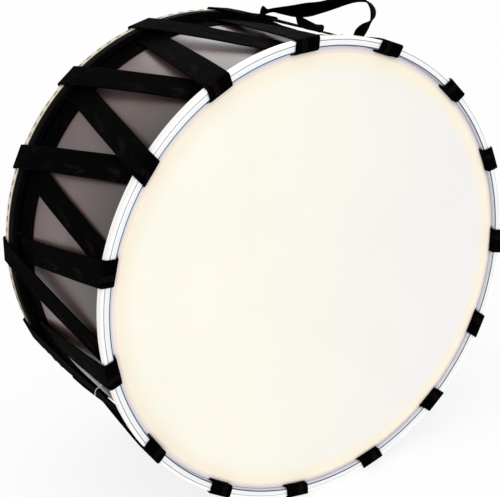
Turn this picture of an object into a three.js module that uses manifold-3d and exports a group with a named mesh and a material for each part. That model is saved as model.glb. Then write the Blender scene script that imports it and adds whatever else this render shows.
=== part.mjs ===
// A davul: a two-headed frame drum laced with flat webbing, standing on its side.
// Sizes are millimetres. X runs across the drum, Y from the front head to the rear head, Z is up.
import * as THREE from "three";
import { mergeVertices } from "three/addons/utils/BufferGeometryUtils.js";
import Module from "manifold-3d";

// Shell and overall depth
const SHELL_RADIUS = 261;
const SHELL_WALL = 7;
const DRUM_DEPTH = 290;
const REINFORCING_WALL = 9.7;
const REINFORCING_DEPTH = 25;
const RING_SEGMENTS = 60;
const CLEARANCE = 0.3;

// Webbing that laces the two heads together
const LOOP_COUNT = 15;
const WEBBING_WIDTH = 30;
const WEBBING_THICKNESS = 1.8;
const WEBBING_BEND = 2.4;
const WEBBING_EXIT = 1;
const SPAN_STEPS = 6;
const SCHEME_CHANGE_ANGLE = 60;

// Front head: a plastic film bonded in a metal hoop, with a white hoop round it
const FILM_THICKNESS = 0.7;
const FILM_RECESS = 3.7;
const FRONT_PASSAGE = 4;
const FRONT_STRAP_SEAT = 2;
const FLESH_HOOP_WIDTH = 7;
const FLESH_HOOP_DEPTH = 10;
const FRONT_HOOP_WIDTH = 3.7;
const FRONT_HOOP_DEPTH = 11;

// Rear head: a hide lapped round a wooden hoop and stitched, with a black hoop in front of it
const HIDE_THICKNESS = 1;
const HIDE_RECESS = 2.7;
const REAR_PASSAGE = 5;
const REAR_STRAP_SEAT = 3;
const LAP_WIDTH = 7.8;
const LAP_DEPTH = 13.5;
const REAR_HOOP_DEPTH = 12.7;
const THREAD_WIDTH = 0.8;
const THREAD_THICKNESS = 0.5;
const THREAD_INSET = 6.5;

// Slope of both heads from the bearing edge down to their hoops
const BEARING_WIDTH = 3.8;
const HEAD_SLOPE = 0.3;
const SLOT_MARGIN = 4;
const SLOT_PLAY = 0.4;

// Band of webbing round the shell under the lacing
const GIRTH_BAND_THICKNESS = 1.5;
const GIRTH_BAND_GAP = 4.5;

// Shoulder strap, tied to the lacing leg at the top of the drum, which it draws up at its front
const FRONT_TIE_INSET = 48;
const TIE_SPACING = 161;
const TIE_LENGTH = 24;
const TIE_LEAD = 6;
const TIE_LIFT = 5.3;
const TIE_LEG_FRONT_ANGLE = -24;
const TIE_LEG_REAR_ANGLE = -12;
const STRAP_STEPS = 52;
const TAIL_STEPS = 12;
// Each row is the distance from the front tie, the height over the leg, the shift across it,
// the width and the twist.
const STRAP_ROUTE = [
  [0, 3.9, 0, 12, 0],
  [0, 7.8, 0, 13, 2],
  [-3.5, 12, 0, 16, 16],
  [-8.5, 16.5, 0, 21, 36],
  [-12.5, 22, 0, 24, 48],
  [-14.5, 29, 0, 27, 56],
  [-12, 37, 0, 30, 62],
  [-4, 43.5, 0, 30, 72],
  [9, 46.5, 0, 30, 82],
  [25, 43.5, 0, 30, 88],
  [40, 38.5, 0, 30, 88],
  [58, 31.5, 0, 30, 84],
  [78, 25, 0, 30, 76],
  [99, 18, 0, 30, 72],
  [120, 13.4, 0, 29, 75],
  [134, 11.6, 0, 25, 80],
  [144, 10.4, 0, 20, 85],
  [152, 10.2, 0, 14, 84],
  [158.5, 10, 0, 10, 50],
  [161.9, 7.8, 0, 8, 10],
  [162, 3.9, 0, 7, 0],
];
const TAIL_ROUTE = [
  [40, 1, -20, 5, 105],
  [49, 2.7, -17, 17, 108],
  [60, 4, -13, 27, 108],
  [71, 5.3, -8, 30, 104],
  [81, 7.4, -3, 30, 90],
  [89, 9.6, 0, 30, 81],
  [95, 11, 0, 28, 76],
];

// Thin pale cord hitched round one lacing leg, low on the left
const CORD_DIAMETER = 1.2;
const CORD_SIDES = 6;
const CORD_INSET = 125;
const CORD_SLANT = 38;
const CORD_LEG_FRONT_ANGLE = 120;
const CORD_LEG_REAR_ANGLE = 108;
// Each row is the distance from the middle of the leg along the cord, and the height over the shell.
const CORD_ROUTE = [
  [129, 5],
  [121, 4.8],
  [114, 2.4],
  [104, 1.5],
  [88, 1.3],
  [71, 1.3],
  [54, 1.3],
  [40, 1.5],
  [30, 4],
  [23, 9.2],
  [0, 10.1],
  [-21.5, 11],
  [-23.3, 10.2],
  [-23.3, 7.6],
  [-21.5, 6.6],
  [0, 5.7],
  [20, 4.9],
];

// Places that follow from the sizes above
const LOOP_PITCH = 360 / LOOP_COUNT;
const HALF_PITCH = LOOP_PITCH / 2;
const FRONT_Y = -DRUM_DEPTH / 2;
const REAR_Y = DRUM_DEPTH / 2;
const FRONT_TIE_Y = FRONT_Y + FRONT_TIE_INSET;
const REAR_TIE_Y = FRONT_TIE_Y + TIE_SPACING;
const CORD_Y = FRONT_Y + CORD_INSET;
const FILM_Y = FRONT_Y + FILM_RECESS;
const HIDE_Y = REAR_Y - HIDE_RECESS;
const SHELL_FRONT_Y = FILM_Y + FILM_THICKNESS + CLEARANCE;
const SHELL_REAR_Y = HIDE_Y - HIDE_THICKNESS - CLEARANCE;
const FRONT_INNER_RADIUS = SHELL_RADIUS + FRONT_PASSAGE;
const FLESH_OUTER_RADIUS = FRONT_INNER_RADIUS + FLESH_HOOP_WIDTH;
const FRONT_HOOP_INNER_RADIUS = FLESH_OUTER_RADIUS + CLEARANCE;
const FRONT_OUTER_RADIUS = FRONT_HOOP_INNER_RADIUS + FRONT_HOOP_WIDTH;
const REAR_INNER_RADIUS = SHELL_RADIUS + REAR_PASSAGE;
const LAP_OUTER_RADIUS = REAR_INNER_RADIUS + LAP_WIDTH;
const HIDE_CREASE_Y = HIDE_Y - (BEARING_WIDTH + REAR_PASSAGE) * HEAD_SLOPE;
const LAP_FRONT_Y = REAR_Y - LAP_DEPTH;
const REAR_HOOP_REAR_Y = LAP_FRONT_Y - CLEARANCE;
const REAR_HOOP_FRONT_Y = REAR_HOOP_REAR_Y - REAR_HOOP_DEPTH;
const THREAD_OUTER_RADIUS = LAP_OUTER_RADIUS + CLEARANCE + THREAD_THICKNESS;
const GIRTH_BAND_REAR_Y = REAR_HOOP_FRONT_Y - GIRTH_BAND_GAP;
const HALF_THICKNESS = WEBBING_THICKNESS / 2;
const OVER_FRONT_RADIUS = FRONT_OUTER_RADIUS + CLEARANCE + HALF_THICKNESS;
const UNDER_FRONT_RADIUS = SHELL_RADIUS + FRONT_STRAP_SEAT;
const OVER_REAR_RADIUS = THREAD_OUTER_RADIUS + CLEARANCE + HALF_THICKNESS;
const UNDER_REAR_RADIUS = SHELL_RADIUS + REAR_STRAP_SEAT;
const STRAP_FRONT_Y = FRONT_Y - CLEARANCE - HALF_THICKNESS;
const STRAP_REAR_Y = REAR_Y + CLEARANCE + HALF_THICKNESS;

// Materials
const finish = (color, roughness, metalness = 0) =>
  new THREE.MeshStandardMaterial({ color, roughness, metalness });
const lacquer = finish(0x8f8388, 0.4);
const plainWood = finish(0xcdb089, 0.7);
const film = finish(0xf6f2ea, 0.45);
const aluminium = finish(0xdfe6ee, 0.3, 0.8);
const whitePaint = finish(0xf7f6f0, 0.35);
const hide = finish(0xe9dcc0, 0.65);
const blackPaint = finish(0x141311, 0.45);
const thread = finish(0x3a2a20, 0.8);
const webbing = finish(0x0d0c0c, 0.75);
const cord = finish(0xcfc9b8, 0.7);

const wasm = await Module();
wasm.setup();

const radians = THREE.MathUtils.degToRad;

// Angles are degrees from straight up, turning towards -X.
function outward(angle) {
  return new THREE.Vector3(-Math.sin(radians(angle)), 0, Math.cos(radians(angle)));
}

function cylinderPoint(radius, angle, y) {
  return outward(angle).multiplyScalar(radius).setY(y);
}

function ring(profile, closed = true) {
  const points = profile.map(([radius, y]) => new THREE.Vector2(radius, y));
  if (closed) points.push(points[0].clone());
  const halfSegment = Math.PI / RING_SEGMENTS;
  return new THREE.LatheGeometry(points, RING_SEGMENTS, halfSegment);
}

function solidOf(geometry) {
  const bare = geometry.clone();
  bare.deleteAttribute("normal");
  bare.deleteAttribute("uv");
  const merged = mergeVertices(bare, 1e-4);
  const vertProperties = new Float32Array(merged.attributes.position.array);
  const triVerts = new Uint32Array(merged.index.array);
  return new wasm.Manifold(new wasm.Mesh({ numProp: 3, vertProperties, triVerts }));
}

function geometryOf(solid) {
  const mesh = solid.getMesh();
  const geometry = new THREE.BufferGeometry();
  geometry.setAttribute("position", new THREE.BufferAttribute(mesh.vertProperties, 3));
  geometry.setIndex(new THREE.BufferAttribute(mesh.triVerts, 1));
  geometry.computeVertexNormals();
  return geometry;
}

// A flat band through stations that hold a point, its normal, its tangent and its size
function bandGeometry(stations) {
  const positions = [];
  const indices = [];
  for (const { point, normal, tangent, width, thickness } of stations) {
    const across = normal.clone().cross(tangent).normalize().multiplyScalar(width / 2);
    const up = normal.clone().multiplyScalar(thickness / 2);
    const corners = [
      point.clone().add(across).add(up),
      point.clone().sub(across).add(up),
      point.clone().sub(across).sub(up),
      point.clone().add(across).sub(up),
    ];
    corners.forEach((corner) => positions.push(corner.x, corner.y, corner.z));
  }
  const last = 4 * (stations.length - 1);
  for (let base = 0; base < last; base += 4) {
    for (let side = 0; side < 4; side++) {
      const a = base + side;
      const b = base + ((side + 1) % 4);
      indices.push(a, b, b + 4);
      indices.push(a, b + 4, a + 4);
    }
  }
  indices.push(0, 2, 1, 0, 3, 2);
  indices.push(last, last + 1, last + 2, last, last + 2, last + 3);
  const geometry = new THREE.BufferGeometry();
  geometry.setAttribute("position", new THREE.Float32BufferAttribute(positions, 3));
  geometry.setIndex(indices);
  geometry.computeVertexNormals();
  return geometry;
}

// A round cord through points that each have a normal square to the cord
function cordGeometry(points, normals, radius, sides) {
  const positions = [];
  const indices = [];
  points.forEach((point, i) => {
    const next = points[Math.min(i + 1, points.length - 1)];
    const previous = points[Math.max(i - 1, 0)];
    const tangent = next.clone().sub(previous).normalize();
    const side = tangent.clone().cross(normals[i]).normalize();
    for (let k = 0; k < sides; k++) {
      const turn = (2 * Math.PI * k) / sides;
      const spoke = side.clone().multiplyScalar(Math.cos(turn) * radius);
      spoke.addScaledVector(normals[i], Math.sin(turn) * radius).add(point);
      positions.push(spoke.x, spoke.y, spoke.z);
    }
  });
  const last = (points.length - 1) * sides;
  for (let base = 0; base < last; base += sides) {
    for (let k = 0; k < sides; k++) {
      const a = base + k;
      const b = base + ((k + 1) % sides);
      indices.push(a, b + sides, b);
      indices.push(a, a + sides, b + sides);
    }
  }
  for (let k = 1; k < sides - 1; k++) {
    indices.push(0, k, k + 1);
    indices.push(last, last + k + 1, last + k);
  }
  const geometry = new THREE.BufferGeometry();
  geometry.setAttribute("position", new THREE.Float32BufferAttribute(positions, 3));
  geometry.setIndex(indices);
  geometry.computeVertexNormals();
  return geometry;
}

// Shell with both outer edges sloped to match the heads
function shell() {
  const inner = SHELL_RADIUS - SHELL_WALL;
  const bevel = SHELL_RADIUS - BEARING_WIDTH;
  const drop = BEARING_WIDTH * HEAD_SLOPE + CLEARANCE / 2;
  return ring([
    [inner, SHELL_FRONT_Y],
    [bevel, SHELL_FRONT_Y],
    [SHELL_RADIUS, SHELL_FRONT_Y + drop],
    [SHELL_RADIUS, SHELL_REAR_Y - drop],
    [bevel, SHELL_REAR_Y],
    [inner, SHELL_REAR_Y],
  ]);
}

function reinforcingRing(frontY) {
  const outer = SHELL_RADIUS - SHELL_WALL - CLEARANCE;
  const inner = outer - REINFORCING_WALL;
  return ring([
    [inner, frontY],
    [outer, frontY],
    [outer, frontY + REINFORCING_DEPTH],
    [inner, frontY + REINFORCING_DEPTH],
  ]);
}

// Slots that let the inner half of each webbing loop through a head
function withSlots(geometry, firstAngle, innerRadius, outerRadius, y) {
  const width = WEBBING_WIDTH + 2 * SLOT_MARGIN;
  const height = outerRadius - innerRadius;
  const depth = 2 * FLESH_HOOP_DEPTH;
  let head = solidOf(geometry);
  for (let i = 0; i < LOOP_COUNT; i++) {
    const angle = firstAngle + i * LOOP_PITCH;
    const box = new THREE.BoxGeometry(width, depth, height);
    box.rotateY(-radians(angle));
    const middle = cylinderPoint((innerRadius + outerRadius) / 2, angle, y);
    box.translate(middle.x, middle.y, middle.z);
    head = head.subtract(solidOf(box));
  }
  return geometryOf(head);
}

function frontHead() {
  const edge = FRONT_INNER_RADIUS - CLEARANCE;
  const bend = SHELL_RADIUS - BEARING_WIDTH + FILM_THICKNESS / 2;
  const drop = (edge - bend) * HEAD_SLOPE;
  const disc = ring(
    [
      [0, FILM_Y],
      [bend, FILM_Y],
      [edge, FILM_Y + drop],
      [edge, FILM_Y + FILM_THICKNESS + drop],
      [bend - FILM_THICKNESS / 2, FILM_Y + FILM_THICKNESS],
      [0, FILM_Y + FILM_THICKNESS],
    ],
    false,
  );
  const slotInner = UNDER_FRONT_RADIUS - HALF_THICKNESS - SLOT_PLAY;
  return withSlots(disc, 0, slotInner, FRONT_INNER_RADIUS + CLEARANCE, FRONT_Y + FLESH_HOOP_DEPTH);
}

function frontFleshHoop() {
  const rounding = 1;
  return ring([
    [FRONT_INNER_RADIUS, FRONT_Y + rounding],
    [FRONT_INNER_RADIUS + rounding, FRONT_Y],
    [FLESH_OUTER_RADIUS, FRONT_Y],
    [FLESH_OUTER_RADIUS, FRONT_Y + FLESH_HOOP_DEPTH],
    [FRONT_INNER_RADIUS, FRONT_Y + FLESH_HOOP_DEPTH],
  ]);
}

function frontCounterHoop() {
  const rounding = 1.2;
  return ring([
    [FRONT_HOOP_INNER_RADIUS, FRONT_Y],
    [FRONT_OUTER_RADIUS - rounding, FRONT_Y],
    [FRONT_OUTER_RADIUS, FRONT_Y + rounding],
    [FRONT_OUTER_RADIUS, FRONT_Y + FRONT_HOOP_DEPTH],
    [FRONT_HOOP_INNER_RADIUS, FRONT_Y + FRONT_HOOP_DEPTH],
  ]);
}

// Hide that crosses the bearing edge and dips to its hoop
function rearHead() {
  const bend = SHELL_RADIUS - BEARING_WIDTH + HIDE_THICKNESS / 2;
  const crease = REAR_INNER_RADIUS - CLEARANCE;
  const disc = ring(
    [
      [0, HIDE_Y - HIDE_THICKNESS],
      [bend - HIDE_THICKNESS / 2, HIDE_Y - HIDE_THICKNESS],
      [crease, HIDE_CREASE_Y - HIDE_THICKNESS],
      [crease, HIDE_CREASE_Y],
      [bend, HIDE_Y],
      [0, HIDE_Y],
    ],
    false,
  );
  const slotInner = UNDER_REAR_RADIUS - HALF_THICKNESS - SLOT_PLAY;
  return withSlots(disc, HALF_PITCH, slotInner, REAR_INNER_RADIUS, HIDE_Y);
}

// The rest of the same hide, lapped round its hoop
function rearHideLap() {
  const inner = REAR_INNER_RADIUS + HIDE_THICKNESS;
  const outer = LAP_OUTER_RADIUS - HIDE_THICKNESS;
  const rounding = 1.5;
  return ring([
    [REAR_INNER_RADIUS, HIDE_CREASE_Y - HIDE_THICKNESS],
    [inner, HIDE_CREASE_Y - HIDE_THICKNESS],
    [inner, REAR_Y - HIDE_THICKNESS],
    [outer, REAR_Y - HIDE_THICKNESS],
    [outer, LAP_FRONT_Y],
    [LAP_OUTER_RADIUS, LAP_FRONT_Y],
    [LAP_OUTER_RADIUS, REAR_Y - rounding],
    [LAP_OUTER_RADIUS - rounding, REAR_Y],
    [REAR_INNER_RADIUS + HIDE_THICKNESS, REAR_Y],
    [REAR_INNER_RADIUS, REAR_Y - HIDE_THICKNESS],
  ]);
}

function rearFleshHoop() {
  const inner = REAR_INNER_RADIUS + HIDE_THICKNESS + CLEARANCE;
  const outer = LAP_OUTER_RADIUS - HIDE_THICKNESS - CLEARANCE;
  const rearY = REAR_Y - HIDE_THICKNESS - CLEARANCE;
  return ring([
    [inner, LAP_FRONT_Y],
    [outer, LAP_FRONT_Y],
    [outer, rearY],
    [inner, rearY],
  ]);
}

function rearStitching() {
  const y = REAR_Y - THREAD_INSET;
  const inner = THREAD_OUTER_RADIUS - THREAD_THICKNESS;
  return ring([
    [inner, y - THREAD_WIDTH / 2],
    [THREAD_OUTER_RADIUS, y - THREAD_WIDTH / 2],
    [THREAD_OUTER_RADIUS, y + THREAD_WIDTH / 2],
    [inner, y + THREAD_WIDTH / 2],
  ]);
}

function rearCounterHoop() {
  const rounding = 1.5;
  return ring([
    [REAR_INNER_RADIUS, REAR_HOOP_FRONT_Y],
    [LAP_OUTER_RADIUS - rounding, REAR_HOOP_FRONT_Y],
    [LAP_OUTER_RADIUS, REAR_HOOP_FRONT_Y + rounding],
    [LAP_OUTER_RADIUS, REAR_HOOP_REAR_Y],
    [REAR_INNER_RADIUS, REAR_HOOP_REAR_Y],
  ]);
}

function girthBand() {
  const inner = SHELL_RADIUS + CLEARANCE;
  const outer = inner + GIRTH_BAND_THICKNESS;
  const frontY = GIRTH_BAND_REAR_Y - WEBBING_WIDTH;
  return ring([
    [inner, frontY],
    [outer, frontY],
    [outer, GIRTH_BAND_REAR_Y],
    [inner, GIRTH_BAND_REAR_Y],
  ]);
}

// Half of a loop round a hoop, from the middle of the hoop's face to the start of the free span
function loopEnd(radius, faceMiddle, faceY, exitY) {
  const side = Math.sign(radius - faceMiddle);
  const inwards = Math.sign(exitY - faceY);
  const path = [[faceMiddle + (side * CLEARANCE) / 2, faceY]];
  for (const turn of [0, 45, 90]) {
    const along = WEBBING_BEND * (1 - Math.sin(radians(turn)));
    const back = WEBBING_BEND * (1 - Math.cos(radians(turn)));
    path.push([radius - side * along, faceY + inwards * back]);
  }
  path.push([radius, exitY]);
  return path;
}

// The path of one lacing leg, as radius and depth, from the front hoop's face to the rear hoop's
function legPath({ overFront, overRear, tied }) {
  const frontRadius = overFront ? OVER_FRONT_RADIUS : UNDER_FRONT_RADIUS;
  const rearRadius = overRear ? OVER_REAR_RADIUS : UNDER_REAR_RADIUS;
  const frontMiddle = (OVER_FRONT_RADIUS + UNDER_FRONT_RADIUS) / 2;
  const rearMiddle = (OVER_REAR_RADIUS + UNDER_REAR_RADIUS) / 2;
  const frontExit = FRONT_Y + FRONT_HOOP_DEPTH + WEBBING_EXIT;
  const rearExit = REAR_HOOP_FRONT_Y - WEBBING_EXIT;
  const front = loopEnd(frontRadius, frontMiddle, STRAP_FRONT_Y, frontExit);
  const rear = loopEnd(rearRadius, rearMiddle, STRAP_REAR_Y, rearExit).reverse();
  // The tied leg rises to the front end of its tie and runs straight from there.
  const startY = tied ? FRONT_TIE_Y - TIE_LENGTH / 2 - TIE_LEAD : frontExit;
  const startShare = (startY - frontExit) / (rearExit - frontExit);
  const lift = tied ? TIE_LIFT : 0;
  const startRadius = THREE.MathUtils.lerp(frontRadius, rearRadius, startShare) + lift;
  const span = [];
  for (let i = tied ? 0 : 1; i < SPAN_STEPS; i++) {
    const share = i / SPAN_STEPS;
    const radius = THREE.MathUtils.lerp(startRadius, rearRadius, share);
    span.push([radius, THREE.MathUtils.lerp(startY, rearExit, share)]);
  }
  return [...front, ...span, ...rear];
}

// Stations of a leg that runs from a front loop to a rear loop at a steady slant
function legStations(leg) {
  const { frontAngle, rearAngle } = leg;
  const path = legPath(leg).map(([radius, y]) => new THREE.Vector2(radius, y));
  const steps = path.slice(1).map((place, i) => place.clone().sub(path[i]));
  const total = steps.reduce((sum, step) => sum + step.length(), 0);
  const turn = radians(Math.abs(rearAngle - frontAngle));
  const slant = Math.atan((turn * SHELL_RADIUS) / total);
  const width = WEBBING_WIDTH / Math.cos(slant);
  let travelled = 0;
  return path.map((place, i) => {
    if (i > 0) travelled += steps[i - 1].length();
    const angle = THREE.MathUtils.lerp(frontAngle, rearAngle, travelled / total);
    const out = outward(angle);
    const before = steps[Math.max(i - 1, 0)].clone().normalize();
    const heading = steps[Math.min(i, steps.length - 1)].clone().normalize().add(before);
    const tangent = out.clone().multiplyScalar(heading.x).setY(heading.y).normalize();
    const sideways = new THREE.Vector3(0, 1, 0).cross(out);
    const normal = sideways.clone().cross(tangent).normalize();
    const point = cylinderPoint(place.x, angle, place.y);
    return { point, normal, tangent, sideways, width, thickness: WEBBING_THICKNESS };
  });
}

// One row for each leg: where it starts and ends, and whether it passes over or under each hoop
function lacingLegs() {
  const legs = [];
  const changeIndex = Math.floor(SCHEME_CHANGE_ANGLE / LOOP_PITCH);
  for (let i = 0; i < LOOP_COUNT; i++) {
    const frontAngle = (changeIndex - i) * LOOP_PITCH;
    const mirrored = i >= Math.ceil(LOOP_COUNT / 2);
    const seam = i === Math.floor(LOOP_COUNT / 2);
    for (const side of [-1, 1]) {
      const overFront = mirrored ? side > 0 : side < 0;
      const overRear = seam || (mirrored ? side < 0 : side > 0);
      const rearAngle = frontAngle + side * HALF_PITCH;
      const tied = frontAngle === TIE_LEG_FRONT_ANGLE && rearAngle === TIE_LEG_REAR_ANGLE;
      legs.push({ frontAngle, rearAngle, overFront, overRear, tied });
    }
  }
  const first = legs.find(({ frontAngle, rearAngle }) => {
    const turned = (frontAngle + 360) % 360;
    return turned === (changeIndex + 1) * LOOP_PITCH && (rearAngle + 360) % 360 < turned;
  });
  if (first) first.overRear = false;
  return legs;
}

// The point, normal and tangent of a leg where it crosses a given depth
function crossing(stations, y) {
  const after = stations.findIndex(({ point }) => point.y > y);
  const a = stations[after - 1];
  const b = stations[after];
  const share = (y - a.point.y) / (b.point.y - a.point.y);
  const tangent = b.point.clone().sub(a.point).normalize();
  const normal = a.sideways.clone().lerp(b.sideways, share).cross(tangent).normalize();
  return { point: a.point.clone().lerp(b.point, share), normal, tangent };
}

// A flat sleeve of webbing wrapped round a lacing leg
function strapTie(place) {
  const innerWidth = WEBBING_WIDTH + 2 * CLEARANCE;
  const innerHeight = WEBBING_THICKNESS + 2 * CLEARANCE;
  const outerWidth = innerWidth + 2 * WEBBING_THICKNESS;
  const outerHeight = innerHeight + 2 * WEBBING_THICKNESS;
  const corner = outerHeight / 2 - 1;
  const rectangle = (path, width, height, cut) => {
    const x = width / 2;
    const y = height / 2;
    path.moveTo(x, y - cut).lineTo(x - cut, y).lineTo(cut - x, y).lineTo(-x, y - cut);
    path.lineTo(-x, cut - y).lineTo(cut - x, -y).lineTo(x - cut, -y).lineTo(x, cut - y);
    return path;
  };
  const outline = rectangle(new THREE.Shape(), outerWidth, outerHeight, corner);
  outline.holes.push(rectangle(new THREE.Path(), innerWidth, innerHeight, CLEARANCE));
  const geometry = new THREE.ExtrudeGeometry(outline, { depth: TIE_LENGTH, bevelEnabled: false });
  geometry.translate(0, 0, -TIE_LENGTH / 2);
  const across = place.normal.clone().cross(place.tangent);
  const basis = new THREE.Matrix4().makeBasis(across, place.normal, place.tangent);
  geometry.applyMatrix4(basis.setPosition(place.point));
  return geometry;
}

// Stations of the shoulder strap or its tail, in the plane that stands on the tied leg
function strapStations(route, steps, frontTie, rearTie) {
  const along = rearTie.point.clone().sub(frontTie.point).normalize();
  const up = frontTie.normal.clone().add(rearTie.normal);
  up.addScaledVector(along, -up.dot(along)).normalize();
  const across = along.clone().cross(up);
  const places = route.map(([distance, height, shift]) => {
    return new THREE.Vector3(distance, height, shift);
  });
  const shapes = route.map(([, , , width, twist]) => new THREE.Vector3(width, twist, 0));
  const curve = new THREE.CatmullRomCurve3(places);
  const sizes = new THREE.CatmullRomCurve3(shapes);
  const frame = new THREE.Matrix4().makeBasis(along, up, across).setPosition(frontTie.point);
  const stations = [];
  for (let i = 0; i <= steps; i++) {
    const size = sizes.getPoint(i / steps);
    const slope = curve.getTangent(i / steps);
    const flat = new THREE.Vector2(slope.x, slope.y).normalize();
    const twist = radians(THREE.MathUtils.clamp(size.y, 0, 120));
    const tangent = slope.clone().transformDirection(frame);
    const bend = along.clone().multiplyScalar(-flat.y).addScaledVector(up, flat.x);
    const normal = bend.multiplyScalar(Math.sin(twist)).addScaledVector(across, Math.cos(twist));
    normal.addScaledVector(tangent, -normal.dot(tangent)).normalize();
    const point = curve.getPoint(i / steps).applyMatrix4(frame);
    stations.push({ point, normal, tangent, width: size.x, thickness: WEBBING_THICKNESS });
  }
  return stations;
}

// A cord tucked behind the front hoop, that slants down to a leg and turns back round it
function tieCord(leg) {
  const { point } = crossing(leg, CORD_Y);
  const start = THREE.MathUtils.radToDeg(Math.atan2(-point.x, point.z));
  const slant = radians(CORD_SLANT);
  const points = [];
  const normals = [];
  for (const [distance, height] of CORD_ROUTE) {
    const turn = (distance * Math.sin(slant)) / SHELL_RADIUS;
    const angle = start - THREE.MathUtils.radToDeg(turn);
    const round = outward(angle + 90).multiplyScalar(-Math.sin(slant));
    points.push(cylinderPoint(SHELL_RADIUS + height, angle, CORD_Y - distance * Math.cos(slant)));
    normals.push(outward(angle).cross(round.setY(-Math.cos(slant))).normalize());
  }
  return cordGeometry(points, normals, CORD_DIAMETER / 2, CORD_SIDES);
}

// Assembly
const drum = new THREE.Group();
const add = (name, geometry, material) => {
  const mesh = new THREE.Mesh(geometry, material);
  mesh.name = name;
  drum.add(mesh);
  return mesh;
};

add("shell", shell(), lacquer);
add("front_reinforcing_ring", reinforcingRing(SHELL_FRONT_Y), plainWood);
add("rear_reinforcing_ring", reinforcingRing(SHELL_REAR_Y - REINFORCING_DEPTH), plainWood);
add("front_head_film", frontHead(), film);
add("front_flesh_hoop", frontFleshHoop(), aluminium);
add("front_counter_hoop", frontCounterHoop(), whitePaint);
add("rear_head_hide", rearHead(), hide);
add("rear_hide_lap", rearHideLap(), hide);
add("rear_flesh_hoop", rearFleshHoop(), plainWood);
add("rear_stitching", rearStitching(), thread);
add("rear_counter_hoop", rearCounterHoop(), blackPaint);
add("girth_band", girthBand(), webbing);

const legs = lacingLegs();
legs.forEach((leg, i) => {
  leg.stations = legStations(leg);
  add("lacing_leg_" + String(i + 1).padStart(2, "0"), bandGeometry(leg.stations), webbing);
});
const legAt = (frontAngle, rearAngle) =>
  legs.find((leg) => {
    const turned = (a, b) => Math.abs(((a - b) % 360 + 360) % 360) < 1e-6;
    return turned(leg.frontAngle, frontAngle) && turned(leg.rearAngle, rearAngle);
  });

const tiedLeg = legAt(TIE_LEG_FRONT_ANGLE, TIE_LEG_REAR_ANGLE).stations;
const frontTie = crossing(tiedLeg, FRONT_TIE_Y);
const rearTie = crossing(tiedLeg, REAR_TIE_Y);
add("front_strap_tie", strapTie(frontTie), webbing);
add("rear_strap_tie", strapTie(rearTie), webbing);
const strap = strapStations(STRAP_ROUTE, STRAP_STEPS, frontTie, rearTie);
add("shoulder_strap", bandGeometry(strap), webbing);
const tail = strapStations(TAIL_ROUTE, TAIL_STEPS, frontTie, rearTie);
add("strap_tail", bandGeometry(tail), webbing);

const cordLeg = legAt(CORD_LEG_FRONT_ANGLE, CORD_LEG_REAR_ANGLE).stations;
add("tie_cord", tieCord(cordLeg), cord);

// The drum stands with its lowest point on the ground.
const bounds = new THREE.Box3().setFromObject(drum, true);
drum.position.z = -bounds.min.z;

const davul = new THREE.Group();
davul.add(drum);
export default davul;
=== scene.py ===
"""Davul: a two-headed frame drum laced with flat webbing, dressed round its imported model."""

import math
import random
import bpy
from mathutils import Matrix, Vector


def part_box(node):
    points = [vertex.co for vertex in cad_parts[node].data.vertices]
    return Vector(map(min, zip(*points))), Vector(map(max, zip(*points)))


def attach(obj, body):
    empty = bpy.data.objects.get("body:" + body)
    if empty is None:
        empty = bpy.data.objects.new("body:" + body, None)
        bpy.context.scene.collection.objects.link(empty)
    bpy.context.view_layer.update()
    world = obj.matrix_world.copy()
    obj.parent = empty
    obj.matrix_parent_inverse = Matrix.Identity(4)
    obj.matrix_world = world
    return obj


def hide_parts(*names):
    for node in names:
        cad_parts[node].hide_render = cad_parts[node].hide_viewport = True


bl_info = {
    "name": "Davul",
    "version": (1, 0, 0),
    "blender": (4, 5, 0),
    "location": "3D View > Sidebar > Davul",
    "description": "Builds a webbing-laced two-headed drum piece by piece",
    "category": "Object",
}

from typing import NamedTuple

import bpy
from bpy.props import FloatProperty, FloatVectorProperty, IntProperty, PointerProperty
from mathutils import Matrix, Vector, noise

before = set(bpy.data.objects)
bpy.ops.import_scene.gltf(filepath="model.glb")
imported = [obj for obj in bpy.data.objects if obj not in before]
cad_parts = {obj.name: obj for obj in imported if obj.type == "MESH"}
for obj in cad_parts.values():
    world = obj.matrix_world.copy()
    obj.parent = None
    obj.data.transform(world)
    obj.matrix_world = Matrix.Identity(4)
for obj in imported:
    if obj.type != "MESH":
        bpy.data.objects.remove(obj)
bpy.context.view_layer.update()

MM = 0.001
REAR = Vector((0, 1, 0))
SHELL_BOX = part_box("shell")
AXIS_HEIGHT = (SHELL_BOX[0].z + SHELL_BOX[1].z) / 2 / MM
DRUM_BODY = "drum"
STRAP_BODY = "strap"

# Depths in millimetres, from the drum's front to its rear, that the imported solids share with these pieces
FRONT_Y = -145.0
FILM_Y = -141.3
SHELL_FRONT_Y = -140.3
BLACK_HOOP_FRONT_Y = 118.5
BLACK_HOOP_REAR_Y = 131.2
LAP_HOOP_FRONT_Y = 131.6
STITCH_Y = 138.5
SHELL_REAR_Y = 141.0
HIDE_Y = 142.3
LAP_HOOP_REAR_Y = 143.7
REAR_Y = 145.0

# The shell's edges fall away by a little on this width, and the rings sit in it with a gap for glue.
BEVEL_WIDTH = 3.8
BEVEL_DROP = 1.3
GLUE_GAP = 0.1

# Inner and outer radii of the hoops, and the depths of the two front ones, which start at the drum's front
ALUMINIUM_HOOP = (265.0, 272.0)
ALUMINIUM_DEPTH = 10.0
WHITE_HOOP = (272.3, 276.0)
WHITE_DEPTH = 11.0
BLACK_HOOP = (266.0, 273.8)
LAP_HOOP = (267.3, 272.5)

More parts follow.
